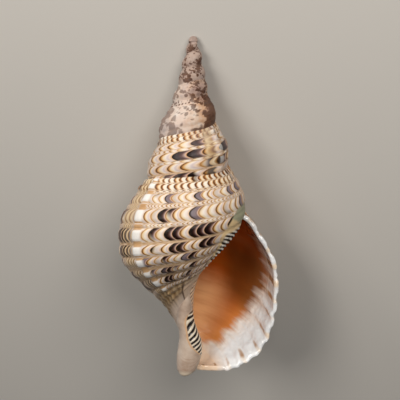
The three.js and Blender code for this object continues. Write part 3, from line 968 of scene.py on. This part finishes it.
def pillar_material():
    """The columella and its tongue: cream folds on dark brown, an orange edge and a pinkish tongue."""
    paint = Paint("toothed pillar")
    angle_share, v = paint.own_map()
    depth = v * DEPTH_UNIT
    facing = (fract(angle_share + 0.5) - 0.5) * TURN
    place = paint.place()
    fine = paint.noise(place, 140.0, 4.0)
    soft = paint.noise(place, 30.0, 3.0) - 0.5

    # The folds: cream teeth on dark brown low down, and thin dark lines on peach above.
    low, high = FOLD_REACH[0][0], FOLD_REACH[-1][0]
    stops = [((at - low) / (high - low), angle / 2) for at, angle in FOLD_REACH]
    reach = Wire(paint, paint.ramp((depth - low) / (high - low), stops)) * 2
    band = step(facing, FOLD_INNER, FOLD_INNER + 0.4) * step(reach - facing, -0.02, 0.08)
    band = band * step(reach, 0.02, 0.15)
    middle, half, less = FOLD_LEVEL
    off = (depth - middle) / half
    slant = FOLD_SLANT - paint.math("EXPONENT", -(off * off)) * less
    fold = paint.math("COSINE", (depth - facing * slant) * (TURN / FOLD_PITCH)) * 0.5 + 0.5
    lines, teeth = paint.palette(fold, PILLAR_LINES), paint.palette(fold, PILLAR_TEETH)
    toothed = mix(step(depth, 278, 288), lines, teeth)

    # The skin: grey at the left, with growth lines round the tongue, a cream hem and an orange rim.
    skin = paint.palette(fine * 0.5 + soft + 0.25, PILLAR_SKIN)
    from_middle = facing - UPWARDS
    skin = mix(step(from_middle, 0.2, 1.1) * 0.5, skin, (0.42, 0.36, 0.32))
    arc = (depth + from_middle * from_middle * 6) * 0.45
    arcs = step(paint.stretched(arc, facing * 0.4), 0.52, 0.62)
    skin = mix(arcs * step(depth, 325, 335) * 0.4, skin, (0.36, 0.2, 0.13))
    left = step(-from_middle, 1.0, 1.4) * step(depth, 296, 306)
    hem = most(left, step(depth, 345, 350))
    skin = mix(hem * 0.7, skin, (0.86, 0.74, 0.58))
    rim = near(facing - reach, 0.1, 0.13) * step(depth, 282, 290)
    rim = rim * (1 - step(depth, 326, 334))
    skin = mix(rim * 0.7, skin, (0.72, 0.42, 0.2))
    colour = mix(band, skin, toothed)
    normal = paint.bump(fine, 0.3, 0.0005)
    return paint.finish(colour, 0.26 + fine * 0.2, normal, Coat_Weight=0.35, Coat_Roughness=0.15)


MADE = {}


def shell_materials():
    """The shell's three finishes, made once."""
    if "materials" not in MADE:
        MADE["materials"] = [outside_material(), mouth_material(), pillar_material()]
    return MADE["materials"]


class ShellSettings(bpy.types.PropertyGroup):
    last_columns: bpy.props.IntProperty(
        name="Columns", description="Steps along the last whorl", default=260, min=40)
    last_rows: bpy.props.IntProperty(
        name="Rows", description="Steps across the last whorl", default=110, min=20)
    early_columns: bpy.props.IntProperty(
        name="Early columns", description="Steps along the whorl before the last", default=150, min=20)
    pillar_sides: bpy.props.IntProperty(
        name="Pillar sides", description="Steps round the columella", default=56, min=12)


class StageSettings(bpy.types.PropertyGroup):
    floor_size: bpy.props.FloatProperty(
        name="Floor", description="Side of the floor", default=6.0, unit="LENGTH")
    floor_colour: bpy.props.FloatVectorProperty(
        name="Floor colour", description="Pale floor", default=(0.62, 0.6, 0.57), subtype="COLOR", size=3)
    key_power: bpy.props.FloatProperty(
        name="Key light", description="Power of the key light", default=16.0, unit="POWER")


class SHELL_OT_last_whorl(bpy.types.Operator):
    """Winds the last whorl's wall, with its cords, old lips and fluted outer lip"""
    bl_idname = "shell.last_whorl"
    bl_label = "Last whorl"

    def execute(self, context):
        form, columns, rows = last_whorl_form(context.scene.shell_settings)
        MADE["last"] = wrapped_grid("triton_shell", columns, rows, form)
        return {"FINISHED"}


class SHELL_OT_early_whorls(bpy.types.Operator):
    """Winds the whorls before the last, each a filled run a little short of a turn, and the worn tip"""
    bl_idname = "shell.early_whorls"
    bl_label = "Early whorls"

    def execute(self, context):
        settings = context.scene.shell_settings
        end, columns, rows, count = FIRST_END, settings.early_columns, EARLY_ROWS, 0
        MADE["early"] = []
        while end > TIP_STAGE + LAP:
            start = max(end - (RUN if count else FIRST_RUN), TIP_STAGE)
            form = filled_form(start - LAP, end, rows)
            MADE["early"].append(wrapped_grid(f"whorl_{count}", columns, rows + 3, form))
            end, count = start, count + 1
            if count > 1:
                columns = max(int(columns * COARSER[0]), FEWEST[0])
                rows = max(int(rows * COARSER[1]), FEWEST[1])
        MADE["early"].append(wrapped_grid("tip", 20, 24, tip_form))
        return {"FINISHED"}


class SHELL_OT_pillar(bpy.types.Operator):
    """Lofts the columella, with the folds along its edge and the tongue beside the canal"""
    bl_idname = "shell.pillar"
    bl_label = "Columella"

    def execute(self, context):
        sides = context.scene.shell_settings.pillar_sides
        MADE["pillar"] = wrapped_grid("pillar", PILLAR_ROWS, sides, pillar_form)
        return {"FINISHED"}


class SHELL_OT_join(bpy.types.Operator):
    """Joins the forms in one closed shell that stands for the solid"""
    bl_idname = "shell.join"
    bl_label = "Join"

    def execute(self, context):
        shell = MADE["last"]
        deselect()
        for other in [*MADE["early"], MADE["pillar"]]:
            context.view_layer.objects.active = shell
            modifier = shell.modifiers.new("join", "BOOLEAN")
            modifier.operation = "UNION"
            modifier.solver = "MANIFOLD"
            modifier.object = other
            bpy.ops.object.modifier_apply(modifier=modifier.name)
            bpy.data.objects.remove(other)
        keep_main_skin(shell.data)
        shell.select_set(True)
        bpy.ops.object.shade_smooth_by_angle(angle=math.radians(40))
        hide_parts("shell")
        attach(shell, "root")
        return {"FINISHED"}


class SHELL_OT_stage(bpy.types.Operator):
    """Lays a pale floor, sets soft lights and places the camera above the mouth"""
    bl_idname = "shell.stage"
    bl_label = "Stage"

    def execute(self, context):
        settings = context.scene.stage_settings
        deselect()
        bpy.ops.mesh.primitive_plane_add(size=settings.floor_size)
        floor = context.object
        floor.name = "floor"
        paint = Paint("pale floor")
        grain = paint.noise(paint.place(), 8.0)
        tone = mix(grain * 0.1, tuple(settings.floor_colour), (0.5, 0.48, 0.45))
        context.scene.view_settings.view_transform = "Standard"
        floor.data.materials.append(paint.finish(tone, 0.6, paint.bump(grain, 0.05, 0.001)))
        place_camera(context)
        place_lights(settings)
        return {"FINISHED"}


# The camera, as fitted to the photograph in the growth frame.
CAMERA_AIM = Vector((0, -170, 0))
CAMERA_DISTANCE = 1100
CAMERA_LEAN = math.radians(8)
CAMERA_TURN = math.radians(1.15)
MM_PER_PIXEL = 1.03
PHOTO_SIZE = 400
AIM_PIXEL = (190, 203)


def place_camera(context):
    """Looks down on the mouth from where the photograph was taken."""
    data = bpy.data.cameras.new("camera")
    camera = bpy.data.objects.new("camera", data)
    context.collection.objects.link(camera)
    context.scene.camera = camera
    back = Vector((0, math.sin(CAMERA_LEAN), math.cos(CAMERA_LEAN)))
    level_up = Vector((0, math.cos(CAMERA_LEAN), -math.sin(CAMERA_LEAN)))
    level_right = Vector((1, 0, 0))
    right = level_right * math.cos(CAMERA_TURN) + level_up * math.sin(CAMERA_TURN)
    up = level_up * math.cos(CAMERA_TURN) - level_right * math.sin(CAMERA_TURN)
    turned = Matrix((right, up, back)).transposed().to_4x4()
    eye = Matrix.Translation((CAMERA_AIM + back * CAMERA_DISTANCE) * MM)
    camera.matrix_world = REST @ eye @ turned
    data.sensor_width = 36
    data.lens = CAMERA_DISTANCE / MM_PER_PIXEL * data.sensor_width / PHOTO_SIZE
    data.shift_x = (PHOTO_SIZE / 2 - AIM_PIXEL[0]) / PHOTO_SIZE
    data.shift_y = (AIM_PIXEL[1] - PHOTO_SIZE / 2) / PHOTO_SIZE
    data.clip_start, data.clip_end = 0.05, 20


# The lamps, each with its place from the shell's middle, its size and its power against the key light's.
LAMPS = [
    ("key", (0.6, 1.2, 1.0), 0.8, 1),
    ("fill", (-0.7, 0.8, 1.2), 0.7, 0.7),
    ("glint", (-0.9, 1.05, 0.3), 0.2, 0.25),
]
LAMP_COLOUR = (1, 0.95, 0.88)
SKY_COLOUR = (0.8, 0.83, 0.88, 1)
SKY_STRENGTH = 0.05


def place_lights(settings):
    """A large soft key light, a fill light, a small lamp for glints, and a pale sky."""
    world = bpy.data.worlds.new("studio")
    bpy.context.scene.world = world
    world.use_nodes = True
    sky = world.node_tree.nodes["Background"]
    sky.inputs["Color"].default_value = SKY_COLOUR
    sky.inputs["Strength"].default_value = SKY_STRENGTH
    middle = Vector((0, 0, 0.06))
    for name, offset, size, power in LAMPS:
        offset = Vector(offset)
        data = bpy.data.lights.new(name, "AREA")
        data.energy = settings.key_power * power
        data.color = LAMP_COLOUR
        data.size = size
        lamp = bpy.data.objects.new(name, data)
        bpy.context.collection.objects.link(lamp)
        lamp.location = middle + offset
        lamp.rotation_euler = offset.to_track_quat("Z", "Y").to_euler()


class SHELL_PT_panel(bpy.types.Panel):
    """Lists the steps that model the shell"""
    bl_idname = "SHELL_PT_panel"
    bl_label = "Triton shell"
    bl_space_type = "VIEW_3D"
    bl_region_type = "UI"
    bl_category = "Shell"

    def draw(self, context):
        for operator in OPERATORS:
            self.layout.operator(operator.bl_idname)
        for settings in (context.scene.shell_settings, context.scene.stage_settings):
            for name in settings.__annotations__:
                self.layout.prop(settings, name)


GROUPS = {"shell_settings": ShellSettings, "stage_settings": StageSettings}
OPERATORS = [SHELL_OT_last_whorl, SHELL_OT_early_whorls, SHELL_OT_pillar, SHELL_OT_join, SHELL_OT_stage]


def register():
    for cls in [*GROUPS.values(), *OPERATORS, SHELL_PT_panel]:
        bpy.utils.register_class(cls)
    for name, group in GROUPS.items():
        setattr(bpy.types.Scene, name, bpy.props.PointerProperty(type=group))


def unregister():
    for name in GROUPS:
        delattr(bpy.types.Scene, name)
    for cls in reversed([*GROUPS.values(), *OPERATORS, SHELL_PT_panel]):
        bpy.utils.unregister_class(cls)


def main():
    register()
    bpy.ops.shell.last_whorl()
    bpy.ops.shell.early_whorls()
    bpy.ops.shell.pillar()
    bpy.ops.shell.join()
    bpy.ops.shell.stage()


if __name__ == "__main__":
    main()
